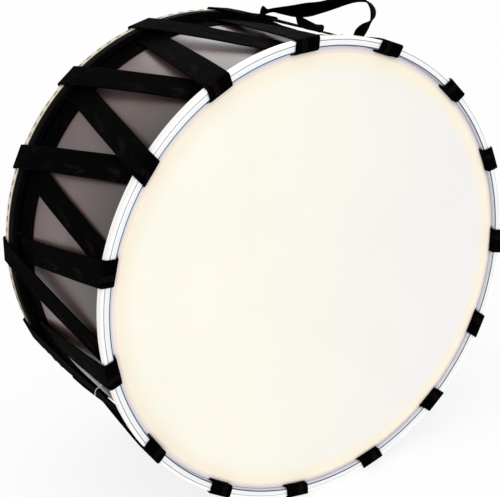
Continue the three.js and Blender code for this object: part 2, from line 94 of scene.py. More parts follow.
# Radii of the points on the heads' flat part, and then rows of a radius and a shift towards the rear
HEAD_RADII = (0, 40, 90, 140, 185, 220, 240, 250, 255)
FILM_SLOPE = (
    (257, 0), (258.5, 0.15), (259.5, 0.45), (260.6, 0.85),
    (261.9, 1.25), (263.2, 1.65), (264.0, 1.9), (264.6, 2.05),
)
HIDE_DIP = (
    (257.2, 0), (258.6, -0.25), (260, -0.7), (262.3, -1.4),
    (264.2, -2.1), (265.4, -2.5), (266.15, -2.4), (266.45, -1.6),
)
# The hide's lap over its hoop goes on from there. Each row is a radius and a depth in the drum.
HIDE_LAP = (
    (266.5, 142.0), (266.7, 143.6), (267.4, 144.3), (268.5, 144.5), (271, 144.5), (272.3, 144.4),
    (273.0, 143.7), (273.3, 142.6), (273.3, 140), (273.3, 137), (273.3, 134), (273.3, 132),
)
# The film is a little uneven past this radius, and fully so that much further out. The hide is uneven
# between its two radii. The heights are the most that each rises or dips.
FILM_UNEVEN_FROM = 245
FILM_UNEVEN_OVER = 20
FILM_UNEVEN_HEIGHT = 0.12
HIDE_UNEVEN = (250, 266)
HIDE_UNEVEN_HEIGHT = 0.1
# The heads are open between these radii, this far past each side of the webbing that goes through them.
FILM_OPENING = (261.9, 264.6)
HIDE_OPENING = (264.2, 266.15)
SLOT_CLEARANCE = 1.0
FILM_SLOT_Y = FILM_Y + 2
HIDE_SLOT_Y = HIDE_Y - 2.5
# A slot's sides take the place of the steps round a head that lie within this many degrees of them.
SLOT_SNAP = 0.4

# The lacing: its loops are evenly spaced, and the order of over and under changes sides once. Its radii and
# depths are those of the webbing's middle.
LOOP_COUNT = 15
LOOP_PITCH = 360 / LOOP_COUNT
HALF_PITCH = LOOP_PITCH / 2
SCHEME_CHANGE_INDEX = 2
STRAP_FRONT_Y = -146.0
FRONT_EXIT_Y = -133.0
REAR_EXIT_Y = 117.5
STRAP_REAR_Y = 146.0
UNDER_FRONT_RADIUS = 263.0
OVER_FRONT_RADIUS = 277.05
UNDER_REAR_RADIUS = 264.0
OVER_REAR_RADIUS = 275.7
MEAN_RADIUS = 265
WEBBING_BEND = 2.2
SPAN_STEPS = 28

# Webbing that is pulled tight by hand ripples up and down, drifts sideways and tilts by this much at most.
RIPPLE_HEIGHT = 0.28
RIPPLE_DRIFT = 0.9
RIPPLE_TILT = 0.012
# Beside each loop this share of a leg lies still, and the ripple grows over the next share.
STILL_SHARE = 0.12
GROWING_SHARE = 0.15

# The band round the shell, under the lacing
GIRTH_REAR_Y = 114.0
GIRTH_THICKNESS = 1.5
GIRTH_LIFT = 0.85
GIRTH_DRIFT = 0.5

# The stitches: each dives into the hide at both ends, and none lies quite like the next.
STITCH_SEED = 7
THREAD_RADIUS = 0.62
STITCH_RADIUS = 273.85
STITCH_DIVE = 0.5
STITCH_JITTER = 0.25
STITCH_SLANT = 0.03
STITCH_SIDES = 8
STITCH_RINGS = 9
STITCH_SIDE_WIDTH = 0.4
STITCH_RING_LENGTH = 1.1
# A stitch's length is measured round this radius.
STITCH_CIRCLE = 274

# The carrying strap and its tail. Each row is the distance from the front tie, the height over the leg, the
# shift across it, the width and the twist in degrees.
STRAP_ROUTE = [
    (0, 2.9, 0, 15, 0),
    (0, 7.8, 0, 15, 2),
    (-3.5, 12, 0, 18, 16),
    (-8.5, 16.5, 0, 22, 36),
    (-12.5, 22, 0, 24, 48),
    (-14.5, 29, 0, 27, 56),
    (-12, 37, 0, 30, 62),
    (-4, 43.5, 0, 30, 72),
    (9, 46.5, 0, 30, 82),
    (25, 43.5, 0, 30, 88),
    (40, 38.5, 0, 30, 88),
    (58, 31.5, 0, 30, 84),
    (78, 25, 0, 30, 76),
    (99, 18, 0, 30, 72),
    (120, 13.4, 0, 29, 75),
    (134, 11.6, 0, 25, 80),
    (144, 10.4, 0, 20, 85),
    (152, 10.2, 0, 15, 84),
    (158.5, 10, 0, 12, 50),
    (161.9, 7.8, 0, 10, 10),
    (162, 2.9, 0, 10, 0),
]
TAIL_ROUTE = [
    (40, 1, -20, 5, 105),
    (49, 2.7, -17, 17, 108),
    (60, 4, -13, 27, 108),
    (71, 5.3, -8, 30, 104),
    (81, 7.4, -3, 30, 90),
    (89, 9.6, 0, 30, 81),
    (95, 11, 0, 28, 76),
]
STRAP_STEPS = 6
LARGEST_TWIST = 120
TIED_LEG = (-24, -12)
FRONT_TIE_Y = -97.0
REAR_TIE_Y = 64.0
TIE_LENGTH = 24.0
TIE_LEAD = 6
TIE_LIFT = 5.3
TIED_START_Y = FRONT_TIE_Y - TIE_LENGTH / 2 - TIE_LEAD
# The ties stand off the leg's faces and its selvedges by this much.
TIE_FACE_GAP = 0.3
TIE_SIDE_GAP = 0.35

# The pale cord. Each row is the distance from the middle of its leg along the cord, and the radius.
CORD_ROUTE = [
    (129, 266),
    (121, 265.8),
    (114, 263.4),
    (104, 262.5),
    (88, 262.3),
    (71, 262.3),
    (54, 262.3),
    (40, 262.5),
    (30, 265),
    (23, 270.2),
    (0, 271.1),
    (-21.5, 272),
    (-23.3, 271.2),
    (-23.3, 268.6),
    (-21.5, 267.6),
    (0, 266.7),
    (20, 265.9),
]
CORD_LEG = (120, 108)
CORD_Y = -20.0
CORD_SLANT = math.radians(38)
CORD_RADIUS = 0.6
CORD_STEPS = 4
CORD_SIDES = 10

# The photograph's camera, worked out from the hoops' outlines and the loops' even pitch. Its place is in
# millimetres from the middle of the drum's axis.
SENSOR_WIDTH = 36
LENS_LENGTH = 79.105
CAMERA_PLACE = Vector((-638.06, -1106.41, 513.19))
CAMERA_RIGHT = Vector((0.84904, -0.52172, -0.08326))
CAMERA_UP = Vector((0.26338, 0.28136, 0.92275))
CAMERA_BACK = Vector((-0.45800, -0.80538, 0.37629))

# Each lamp's name, the way that it shines, its strength and how many degrees wide it is
LAMPS = (
    ("front_light", (0.25, 0.93, -0.27), 0.76, 25),
    ("top_light", (0.1, 0.3, -0.95), 0.75, 40),
    ("back_light", (-0.46, -0.8, -0.38), 0.6, 34),
)
WORLD_STRENGTH = 0.62
# The floor's side, in metres
FLOOR_SIZE = 60
# The share of plain white in what the camera sees of the floor. The rest keeps the drum's shadow.
FLOOR_GLOW = 0.84


def linear(hex_colour):
    """An sRGB hex colour as linear red, green and blue."""
    parts = [int(hex_colour[i : i + 2], 16) / 255 for i in (1, 3, 5)]
    return tuple(p / 12.92 if p <= 0.04045 else ((p + 0.055) / 1.055) ** 2.4 for p in parts)


def length(name, description, default, low, high):
    """A length in millimetres that a user can change."""
    return FloatProperty(name=name, description=description, default=default, min=low, max=high)


def swatch(name, description, hex_colour):
    """A colour that a user can change."""
    return FloatVectorProperty(
        name=name, description=description, subtype="COLOR", default=linear(hex_colour), min=0, max=1
    )


class DavulSizes(bpy.types.PropertyGroup):
    """The drum's sizes, in millimetres"""

    shell_radius: length("Shell radius", "Outside radius of the shell, mm", 261, 150, 400)
    shell_wall: length("Shell wall", "Thickness of the bent plywood, mm", 7, 3, 15)
    reinforcing_wall: length("Reinforcing ring", "Thickness of the rings inside the shell, mm", 9.7, 4, 20)
    reinforcing_depth: length("Reinforcing depth", "Depth of the rings inside the shell, mm", 25, 10, 60)
    film_thickness: length("Film", "Thickness of the plastic head, mm", 0.35, 0.2, 0.7)
    hide_thickness: length("Hide", "Thickness of the hide head, mm", 1, 0.5, 2)
    webbing_width: length("Webbing width", "Width of the lacing and the band, mm", 30, 15, 40)
    webbing_thickness: length("Webbing thickness", "Thickness of the webbing, mm", 1.8, 1, 2)
    stitch_length: length("Stitch length", "Length of a stitch in the lapped hide, mm", 9, 3, 12)
    stitch_count: IntProperty(
        name="Stitches", description="Number of stitches round the lapped hide", default=114, min=20, max=200
    )
    ring_segments: IntProperty(
        name="Ring segments", description="Steps round each hoop", default=240, min=60, max=480
    )


class DavulColours(bpy.types.PropertyGroup):
    """The drum's colours"""

    lacquer: swatch("Lacquer", "Stained veneer under the lacquer", "#6A5450")
    lacquer_dark: swatch("Lacquer grain", "Darker streaks of the veneer", "#4B3A38")
    # The film's two colours hold painted light and shade: brighter on its left side, greyer on its right.
    film: swatch("Film", "Milky plastic head, left side", "#F8F5E6")
    film_cool: swatch("Film, cool side", "Milky plastic head, right side", "#EFECEB")
    film_edge: swatch("Film edge", "Tint where the wooden ring shows through", "#F7EFDB")
    # Painted shade on the film's slope down to its hoop
    film_rim: swatch("Film rim", "Tint of the film that slopes down to its hoop", "#DEDAE1")
    aluminium: swatch("Aluminium", "Hoop of the plastic head", "#F1F5F9")
    white_paint: swatch("White paint", "White hoop", "#FEFDFA")
    hide: swatch("Hide", "Natural hide head", "#EEE2CB")
    # Browner colour for the lower part of the lap
    hide_stain: swatch("Hide stain", "Handled hide, low on the lap", "#8C6A40")
    black_paint: swatch("Black paint", "Black hoop", "#070606")
    beech: swatch("Beech", "Bare wood inside", "#C9A877")
    webbing: swatch("Webbing", "Black webbing", "#040303")
    # Painted reflection: the brown of the streaks along the webbing
    webbing_faded: swatch("Faded webbing", "Brown where the webbing has faded", "#261E1A")
    thread: swatch("Thread", "Waxed stitching thread", "#3B2A1E")
    cord: swatch("Cord", "Pale hitched cord", "#CFCABB")


def sizes():
    return bpy.context.scene.davul_sizes


def colours():
    return bpy.context.scene.davul_colours


# Materials

# A wave texture of scale 1 repeats at this distance, so this over a spacing in millimetres is its scale.
WAVE_PERIOD = 0.314


def add_node(tree, kind, inputs=None, **settings):
    """Adds a node with its settings, and gives each named input a value or a link from a socket."""
    node = tree.nodes.new("ShaderNode" + kind)
    for name, value in settings.items():
        setattr(node, name, value)
    for name, value in (inputs or {}).items():
        if isinstance(value, bpy.types.NodeSocket):
            tree.links.new(value, node.inputs[name])
        else:
            node.inputs[name].default_value = value
    return node


def new_material(name):
    """A material with an empty node tree, and the tree."""
    material = bpy.data.materials.new(name)
    material.use_nodes = True
    material.node_tree.nodes.clear()
    return material, material.node_tree


def finished(material, inputs):
    """Ends a material's nodes with a surface shader of the given inputs."""
    tree = material.node_tree
    surface = add_node(tree, "BsdfPrincipled", inputs)
    add_node(tree, "OutputMaterial", {"Surface": surface.outputs["BSDF"]})
    return material


def set_stops(ramp, *stops):
    """Gives a colour ramp its (position, colour) stops, and returns the colour that it puts out."""
    elements = ramp.color_ramp.elements
    while len(elements) < len(stops):
        elements.new(0.5)
    for element, (position, colour) in zip(elements, stops):
        element.position = position
        element.color = (*(linear(colour) if isinstance(colour, str) else colour), 1)
    return ramp.outputs["Color"]


def scaled(colour, share):
    return tuple(part * share for part in colour)


def from_axis(tree):
    """The place seen from the middle of the drum's axis, in metres."""
    place = add_node(tree, "TexCoord").outputs["Object"]
    middle = (0, 0, AXIS_HEIGHT * MM)
    return add_node(tree, "VectorMath", {0: place, 1: middle}, operation="SUBTRACT").outputs["Vector"]


def radius_from_axis(tree):
    """The distance from the drum's axis, in metres."""
    flat = add_node(tree, "VectorMath", {0: from_axis(tree), 1: (1, 0, 1)}, operation="MULTIPLY")
    return add_node(tree, "VectorMath", {0: flat.outputs["Vector"]}, operation="LENGTH").outputs["Value"]


def streaks(tree, along, across, detail, roughness=0.5):
    """Uneven patches laid along a piece's UV places, of a length and a width in millimetres."""
    place = add_node(tree, "UVMap").outputs["UV"]
    drawn = add_node(tree, "Mapping", {"Vector": place, "Scale": (1 / along, 1 / across, 1)})
    return add_node(
        tree,
        "TexNoise",
        {"Vector": drawn.outputs["Vector"], "Scale": 1, "Detail": detail, "Roughness": roughness},
    ).outputs["Fac"]


def lacquered_veneer():
    """Stained plywood veneer, bent round and lacquered: fine streaks along the bend under a glossy coat."""
    material, tree = new_material("lacquered_veneer")
    # Grain streaks are 120 mm long and about 2 mm wide, drawn coarser than the real 0.5 mm so that they show.
    grain = streaks(tree, along=120, across=2, detail=5, roughness=0.65)
    # The stain is patchy over about 90 by 45 mm.
    patches = streaks(tree, along=90, across=45, detail=3)
    mixed = add_node(tree, "Mix", {"Factor": 0.35, "A": grain, "B": patches}, data_type="FLOAT")
    wood = set_stops(
        add_node(tree, "ValToRGB", {"Fac": mixed.outputs["Result"]}),
        (0.32, colours().lacquer_dark),
        (0.68, colours().lacquer),
    )
    # Painted shade: the colour darkens and reddens towards both ends of the shell, in the hoops' shade, and
    # is nearly black beside the rear hoop, where the gap under it lies in shadow.
    place = add_node(tree, "TexCoord").outputs["Object"]
    depth = add_node(tree, "SeparateXYZ", {"Vector": place}).outputs["Y"]
    ends = add_node(tree, "MapRange", {"Value": depth, "From Min": FRONT_Y * MM, "From Max": REAR_Y * MM})
    painted_end_shade = set_stops(
        add_node(tree, "ValToRGB", {"Fac": ends.outputs["Result"]}),
        (0, "#402727"),
        (0.14, "#74504E"),
        (0.34, "#CFBBB6"),
        (0.52, "#FFFFFF"),
        (0.78, "#E9DCDC"),
        (0.87, "#8C7A7A"),
        (0.9, "#1E1A1A"),
        (1, "#141010"),
    )
    # The stained wood, with the painted shade at the ends multiplied in.
    toned = add_node(
        tree, "Mix", {"Factor": 1, "A": wood, "B": painted_end_shade}, data_type="RGBA", blend_type="MULTIPLY"
    )
    bump = add_node(tree, "Bump", {"Height": grain, "Strength": 0.04, "Distance": 0.0002})
    return finished(
        material,
        {
            "Base Color": toned.outputs["Result"],
            "Normal": bump.outputs["Normal"],
            "Roughness": 0.5,
            "IOR": 1.5,
            "Specular IOR Level": 0.1,
            "Coat Weight": 0.8,
            "Coat Roughness": 0.36,
            "Coat IOR": 1.52,
        },
    )


def planed_beech():
    """Planed beech: pale, close-grained and matt, with darker lines of grain."""
    material, tree = new_material("planed_beech")
    # Grain lines are about 1.5 mm apart and 60 mm long.
    grain = streaks(tree, along=60, across=1.5, detail=4, roughness=0.6)
    wood = set_stops(
        add_node(tree, "ValToRGB", {"Fac": grain}),
        (0.3, scaled(colours().beech, 0.7)),
        (0.65, colours().beech),
    )
    bump = add_node(tree, "Bump", {"Height": grain, "Strength": 0.15, "Distance": 0.0002}).outputs["Normal"]
    return finished(material, {"Base Color": wood, "Normal": bump, "Roughness": 0.65, "IOR": 1.5})


def frosted_polyester():
    """Frosted polyester film: milky and satin, warmer where the wooden ring shows through near its edge."""
    material, tree = new_material("frosted_polyester")
    # Painted light and shade: the film is painted a little creamier and brighter towards the left, and greyer
    # towards the right, as the light falls across it.
    slant = add_node(tree, "VectorMath", {0: from_axis(tree), 1: (-1.6, 0, 0.3)}, operation="DOT_PRODUCT")
    side = add_node(tree, "MapRange", {"Value": slant.outputs["Value"], "From Min": -0.3, "From Max": 0.25})
    shadier, brighter = ((*colour, 1) for colour in (colours().film_cool, colours().film))
    ground = add_node(tree, "Mix", {"Factor": side.outputs["Result"], "A": shadier, "B": brighter}, data_type="RGBA")
    # The ring shows as a cream tint that comes in over about 14 mm. Past it the film slopes to its hoop, and
    # there it is painted a lavender-grey shade that darkens against the hoop's wall.
    share = add_node(
        tree, "MapRange", {"Value": radius_from_axis(tree), "From Min": 0.236, "From Max": 0.266}
    ).outputs["Result"]
    tint = set_stops(
        add_node(tree, "ValToRGB", {"Fac": share}),
        (0.7, colours().film_edge),
        (0.76, "#F8E2D0"),
        (0.8, "#F3EDE6"),
        (0.86, colours().film_rim),
        (0.95, colours().film_rim),
        (1, "#BFBFC6"),
    )
    shown = add_node(tree, "MapRange", {"Value": share, "From Min": 0.02, "From Max": 0.5}).outputs["Result"]
    dyed = add_node(
        tree, "Mix", {"Factor": shown, "A": ground.outputs["Result"], "B": tint}, data_type="RGBA"
    ).outputs["Result"]
    # The frosting is uneven over about 80 mm, and its grit is about 0.8 mm.
    place = add_node(tree, "TexCoord").outputs["Object"]
    cloud = add_node(tree, "TexNoise", {"Vector": place, "Scale": 12, "Detail": 3}).outputs["Fac"]
    grit = add_node(tree, "TexNoise", {"Vector": place, "Scale": 1250, "Detail": 2}).outputs["Fac"]
    shade = add_node(
        tree, "MapRange", {"Value": cloud, "From Min": 0.3, "From Max": 0.7, "To Min": 0.98}
    ).outputs["Result"]
    clouded = add_node(tree, "VectorMath", {0: dyed, "Scale": shade}, operation="SCALE").outputs["Vector"]
    bump = add_node(tree, "Bump", {"Height": grit, "Strength": 0.08, "Distance": 0.0001}).outputs["Normal"]
    return finished(
        material,
        {"Base Color": clouded, "Normal": bump, "Roughness": 0.45, "IOR": 1.58, "Specular IOR Level": 0.3},
    )


def anodised_aluminium():
    """Anodised aluminium: satin, nearly white, with rolling lines, and painted shade as a dark seam where the
    film goes in.
    """
    material, tree = new_material("anodised_aluminium")
    # Rolling lines are about 0.6 mm apart.
    lines = streaks(tree, along=80, across=0.6, detail=3)
    rough = add_node(
        tree, "MapRange", {"Value": lines, "From Min": 0.3, "From Max": 0.7, "To Min": 0.34, "To Max": 0.46}
    ).outputs["Result"]
    bump = add_node(tree, "Bump", {"Height": lines, "Strength": 0.1, "Distance": 0.0001}).outputs["Normal"]
    inner, outer = ALUMINIUM_HOOP
    share = add_node(
        tree, "MapRange", {"Value": radius_from_axis(tree), "From Min": inner * MM, "From Max": outer * MM}
    ).outputs["Result"]
    metal = colours().aluminium
    # Painted shade: a dark band just inside the hoop's inner edge stands for the shadowed seam where the film
    # goes in.
    metal_with_seam_shade = set_stops(
        add_node(tree, "ValToRGB", {"Fac": share}),
        (0, "#E0E0E4"),
        (0.015, "#E0E0E4"),
        (0.03, "#2E3844"),
        (0.19, "#445060"),
        (0.25, metal),
        (0.48, metal),
        (0.51, "#D5DCE4"),
        (0.54, metal),
        (0.94, metal),
        (1, "#B0A89C"),
    )
    return finished(material, {"Base Color": metal_with_seam_shade, "Normal": bump, "Roughness": rough, "Metallic": 0.3})


def sprayed_enamel(name, colour, shine):
    """Sprayed enamel on a hoop: a faint orange peel, and a little dirt in patches."""
    material, tree = new_material(name)
    place = add_node(tree, "TexCoord").outputs["Object"]
    # The orange peel is about 2 mm across, and the dirt about 30 mm.
    peel = add_node(tree, "TexNoise", {"Vector": place, "Scale": 500, "Detail": 1}).outputs["Fac"]
    dirt = add_node(tree, "TexNoise", {"Vector": place, "Scale": 33, "Detail": 4}).outputs["Fac"]
    paint = set_stops(add_node(tree, "ValToRGB", {"Fac": dirt}), (0.25, scaled(colour, 0.9)), (0.5, colour))
    bump = add_node(tree, "Bump", {"Height": peel, "Strength": 0.08, "Distance": 0.0002}).outputs["Normal"]
    return finished(
        material, {"Base Color": paint, "Normal": bump, "IOR": 1.5, "Coat Roughness": 0.2, **shine}
    )


def white_enamel():
    """Glossy white enamel under a thin clear coat."""
    return sprayed_enamel("white_enamel", colours().white_paint, {"Roughness": 0.3, "Coat Weight": 0.4})


def black_enamel():
    """Dull black enamel that hardly mirrors anything."""
    shine = {"Roughness": 0.75, "Specular IOR Level": 0.02}
    return sprayed_enamel("black_enamel", colours().black_paint, shine)


def rawhide():
    """Scraped and dried rawhide: cream with honey-coloured clouds, faint veins and a dry, uneven surface."""
    material, tree = new_material("rawhide")
    surface_place = add_node(tree, "TexCoord")
    place = surface_place.outputs["Object"]
    # Clouds are about 70 mm across, and veins about 25 mm apart.
    clouds = add_node(tree, "TexNoise", {"Vector": place, "Scale": 14, "Detail": 6, "Roughness": 0.6})
    bent = add_node(tree, "VectorMath", {0: clouds.outputs["Color"], "Scale": 0.06}, operation="SCALE")
    vein_place = add_node(tree, "VectorMath", {0: place, 1: bent.outputs["Vector"]}, operation="ADD")
    veins = add_node(
        tree, "TexVoronoi", {"Vector": vein_place.outputs["Vector"], "Scale": 40}, feature="DISTANCE_TO_EDGE"
    ).outputs["Distance"]
    vein_shade = add_node(
        tree, "MapRange", {"Value": veins, "From Max": 0.09, "To Min": 0.93}
    ).outputs["Result"]
    cloudy = set_stops(
        add_node(tree, "ValToRGB", {"Fac": clouds.outputs["Fac"]}),
        (0.3, scaled(colours().hide, 0.78)),
        (0.66, colours().hide),
    )
    veined = add_node(
        tree, "VectorMath", {0: cloudy, "Scale": vein_shade}, operation="SCALE"
    ).outputs["Vector"]
    # The lap is browner low down, in patches.
    height = add_node(tree, "SeparateXYZ", {"Vector": place}).outputs["Z"]
    low = add_node(tree, "MapRange", {"Value": height, "From Min": 0.33, "From Max": 0.22}).outputs["Result"]
    radius = radius_from_axis(tree)
    lap = add_node(
        tree, "MapRange", {"Value": radius, "From Min": 0.2655, "From Max": 0.2675}
    ).outputs["Result"]
    patchy = add_node(
        tree, "MapRange", {"Value": clouds.outputs["Fac"], "From Min": 0.3, "From Max": 0.6, "To Min": 0.55}
    ).outputs["Result"]
    low_lap = add_node(tree, "Math", {0: low, 1: lap}, operation="MULTIPLY").outputs["Value"]
    low_brown_share = add_node(tree, "Math", {0: low_lap, 1: patchy}, operation="MULTIPLY").outputs["Value"]
    toned = add_node(
        tree, "Mix", {"Factor": low_brown_share, "A": veined, "B": (*colours().hide_stain, 1)}, data_type="RGBA"
    ).outputs["Result"]
    # Painted shade: the hide's front-facing side near its edge, in the black hoop's shadow, is painted with
    # the hoop's black.
    facing = add_node(tree, "SeparateXYZ", {"Vector": surface_place.outputs["Normal"]}).outputs["Y"]
    shade_on_front_faces = add_node(tree, "MapRange", {"Value": facing, "From Min": -0.1, "From Max": -0.3})
    edge = add_node(tree, "MapRange", {"Value": radius, "From Min": 0.256, "From Max": 0.26})
    paint = add_node(
        tree, "Math", {0: shade_on_front_faces.outputs["Result"], 1: edge.outputs["Result"]}, operation="MULTIPLY"
    ).outputs["Value"]
    painted = add_node(
        tree, "Mix", {"Factor": paint, "A": toned, "B": (*colours().black_paint, 1)}, data_type="RGBA"
    ).outputs["Result"]
    # Pores are about 1.2 mm.
    pores = add_node(tree, "TexNoise", {"Vector": place, "Scale": 830, "Detail": 3}).outputs["Fac"]
    bump = add_node(tree, "Bump", {"Height": pores, "Strength": 0.25, "Distance": 0.0003}).outputs["Normal"]
    return finished(
        material, {"Base Color": painted, "Normal": bump, "Roughness": 0.62, "IOR": 1.5, "Sheen Weight": 0.1}
    )


def polypropylene_webbing():
    """Black polypropylene webbing, woven in ribs: matt black, with painted reflection as slightly brown
    streaks.
    """
    material, tree = new_material("polypropylene_webbing")
    place = add_node(tree, "UVMap").outputs["UV"]
    # Ribs lie 2.5 mm apart across the webbing and picks 2 mm apart along it, drawn coarser than the real
    # 1.2 mm so that they show.
    ribs = add_node(
        tree, "TexWave", {"Vector": place, "Scale": WAVE_PERIOD / 2.5}, bands_direction="Y"
    ).outputs["Fac"]
    picks = add_node(
        tree, "TexWave", {"Vector": place, "Scale": WAVE_PERIOD / 2}, bands_direction="X"
    ).outputs["Fac"]
    weave = add_node(tree, "Math", {0: ribs, 1: picks}, operation="MULTIPLY").outputs["Value"]
    height = add_node(tree, "Math", {0: weave, 1: ribs}, operation="ADD").outputs["Value"]
    # Darker patches and brown streaks of painted reflection come about 50 mm long and 14 mm wide. The darker
    # patches vary at random.
    streak_noise = streaks(tree, along=50, across=14, detail=5, roughness=0.7)
    streaked = set_stops(
        add_node(tree, "ValToRGB", {"Fac": streak_noise}),
        (0.35, scaled(colours().webbing, 0.6)),
        (0.56, colours().webbing),
        (0.76, colours().webbing_faded),
    )
    # Painted shade and light: the weave's low places are darkened and its raised crossings lightened.
    weave_painted_shade = add_node(
        tree, "MapRange", {"Value": height, "From Max": 2, "To Min": 0.5, "To Max": 1.25}
    ).outputs["Result"]
    tint = add_node(tree, "VectorMath", {0: streaked, "Scale": weave_painted_shade}, operation="SCALE").outputs["Vector"]
    bump = add_node(tree, "Bump", {"Height": height, "Strength": 0.5, "Distance": 0.0004}).outputs["Normal"]
    return finished(
        material,
        {"Base Color": tint, "Normal": bump, "Roughness": 0.9, "IOR": 1.49, "Specular IOR Level": 0.012},
    )


def twisted_yarn(name, colour, lay):
    """Twisted yarn: dull, with one strand that winds past every lay millimetres."""
    material, tree = new_material(name)
    place = add_node(tree, "UVMap").outputs["UV"]
    turned = add_node(tree, "Mapping", {"Vector": place, "Rotation": (0, 0, math.radians(35))})
    strands = add_node(
        tree, "TexWave", {"Vector": turned.outputs["Vector"], "Scale": WAVE_PERIOD / lay}
    ).outputs["Fac"]
    shaded = set_stops(add_node(tree, "ValToRGB", {"Fac": strands}), (0, scaled(colour, 0.6)), (0.6, colour))
    bump = add_node(tree, "Bump", {"Height": strands, "Strength": 0.5, "Distance": 0.0002}).outputs["Normal"]
    return finished(
        material, {"Base Color": shaded, "Normal": bump, "Roughness": 0.7, "IOR": 1.5, "Sheen Weight": 0.15}
    )


def waxed_thread():
    """Brown linen thread, drawn through wax and twisted fine."""
    return twisted_yarn("waxed_thread", colours().thread, lay=0.9)


def waxed_cord():
    """Pale waxed cord with a slightly coarser twist."""
    return twisted_yarn("waxed_cord", colours().cord, lay=1.1)


# Mesh making

# A rounded corner takes at most one part in this many of each side beside it.
CORNER_SHARE = 2.2
# Points in the webbing's section, as shares of the flat part's half width
SECTION_SHARES = (1, 0.86, 0, -0.86, -1)


def outward(angle):
    """The unit vector away from the drum's axis, at an angle in degrees from straight up towards -X."""
    turn = math.radians(angle)
    return Vector((-math.sin(turn), 0, math.cos(turn)))


def around(angle):
    """The unit vector round the drum, in the direction in which the angle grows."""
    turn = math.radians(angle)
    return Vector((-math.cos(turn), 0, -math.sin(turn)))


def drum_point(radius, angle, y):
    """A point in millimetres from its radius, angle and depth."""
    point = outward(angle) * radius
    return Vector((point.x, y, point.z + AXIS_HEIGHT))


def angle_of(point):
    """The angle in degrees at which a point lies round the drum's axis."""
    return math.degrees(math.atan2(-point.x, point.z - AXIS_HEIGHT))


def apart(angle, other):
    """How far apart two angles are, in degrees."""
    return abs((angle - other + 180) % 360 - 180)


def distances(points, closed=False):
    """The distance along a line of points to each of them, and back to the first where it is closed."""
    reached = [0.0]
    stops = [*points, points[0]] if closed else points
    for before, after in zip(stops, stops[1:]):
        reached.append(reached[-1] + math.dist(before, after))
    return reached


def neighbours(rows, i):
    """The rows before and after one, or the row itself at an end."""
    return rows[max(i - 1, 0)], rows[min(i + 1, len(rows) - 1)]


def smooth_rows(rows, steps):
    """Catmull-Rom points through rows of numbers, with a number of steps between neighbours."""
    vectors = [Vector(row) for row in rows]
    made = []
    for i in range(len(vectors) - 1):
        p0, p2 = neighbours(vectors, i)
        p1, p3 = neighbours(vectors, i + 1)
        heading = p2 - p0
        bend = 2 * p0 - 5 * p1 + 4 * p2 - p3
        swing = 3 * p1 - p0 - 3 * p2 + p3
        for step in range(steps):
            t = step / steps
            made.append(0.5 * (2 * p1 + heading * t + bend * t**2 + swing * t**3))
    made.append(vectors[-1].copy())
    return made


def make_object(name, points, faces, uvs, finish):
    """A smooth mesh object from points, faces and a UV place for each of their corners, in millimetres."""
    mesh = bpy.data.meshes.new(name)
    mesh.from_pydata([point * MM for point in points], [], faces)
    layer = mesh.uv_layers.new(name="UVMap")
    layer.data.foreach_set("uv", [value for face_uvs in uvs for uv in face_uvs for value in uv])
    mesh.polygons.foreach_set("use_smooth", [True] * len(mesh.polygons))
    # Each material is named for the function that makes it, and made once.
    mesh.materials.append(bpy.data.materials.get(finish.__name__) or finish())
    mesh.validate()
    mesh.update()
    made = bpy.data.objects.new(name, mesh)
    bpy.context.scene.collection.objects.link(made)
    return made


def make_solid(name, points, faces, uvs, finish):
    """A closed mesh object, turned the right way out."""
    made = make_object(name, points, faces, uvs, finish)
    volume = 0.0
    for face in made.data.polygons:
        corners = [made.data.vertices[i].co for i in face.vertices]
        for second, third in zip(corners[1:], corners[2:]):
            volume += corners[0].dot(second.cross(third))
    if volume < 0:
        made.data.flip_normals()
    return made


def skin(along, girth, closed=False, base=0):
    """Faces and UV places of a skin over rings of points, with a cap at each end unless the rings meet.

    The distances along it and round its girth are its UV places. A ring has one point fewer than the girth.
    """
    count = len(girth) - 1
    rings = len(along) - 1 if closed else len(along)
    faces, uvs = [], []
    for i in range(len(along) - 1):
        a, b = base + i * count, base + (i + 1) % rings * count
        u0, u1 = along[i : i + 2]
        for k in range(count):
            m = (k + 1) % count
            faces.append((a + k, a + m, b + m, b + k))
            uvs.append(((u0, girth[k]), (u0, girth[k + 1]), (u1, girth[k + 1]), (u1, girth[k])))
    if not closed:
        for start, order in ((base, range(count - 1, -1, -1)), (base + (rings - 1) * count, range(count))):
            faces.append(tuple(start + k for k in order))
            uvs.append(tuple((0.0, girth[k]) for k in order))
    return faces, uvs


def rounded_profile(corners, rounding, steps=4):
    """A closed profile of (radius, y) corners with each corner rounded."""
    points = []
    for i, corner in enumerate(corners):
        here = Vector(corner)
        before = Vector(corners[i - 1]) - here
        after = Vector(corners[(i + 1) % len(corners)]) - here
        reach = min(rounding, before.length / CORNER_SHARE, after.length / CORNER_SHARE)
        start = here + before.normalized() * reach
        end = here + after.normalized() * reach
        for step in range(steps + 1):
            t = step / steps
            points.append((1 - t) ** 2 * start + 2 * t * (1 - t) * here + t**2 * end)
    return points


def hoop_profile(radii, front_y, rear_y, rounding, steps=4):
    """The closed profile of a hoop between two radii and two depths."""
    inner, outer = radii
    return rounded_profile(
        [(inner, front_y), (outer, front_y), (outer, rear_y), (inner, rear_y)], rounding, steps
    )


def turned_ring(name, profile, finish):
    """A ring turned round the drum's axis from a closed profile of (radius, y) points."""
    steps = sizes().ring_segments
    points = [drum_point(radius, 360 * step / steps, y) for step in range(steps) for radius, y in profile]
    along = [math.radians(360 * step / steps) * profile[0][0] for step in range(steps + 1)]
    made = make_solid(name, points, *skin(along, distances(profile, closed=True), closed=True), finish)
    made.modifiers.new("face_weighted_normals", "WEIGHTED_NORMAL").keep_sharp = True
    return made


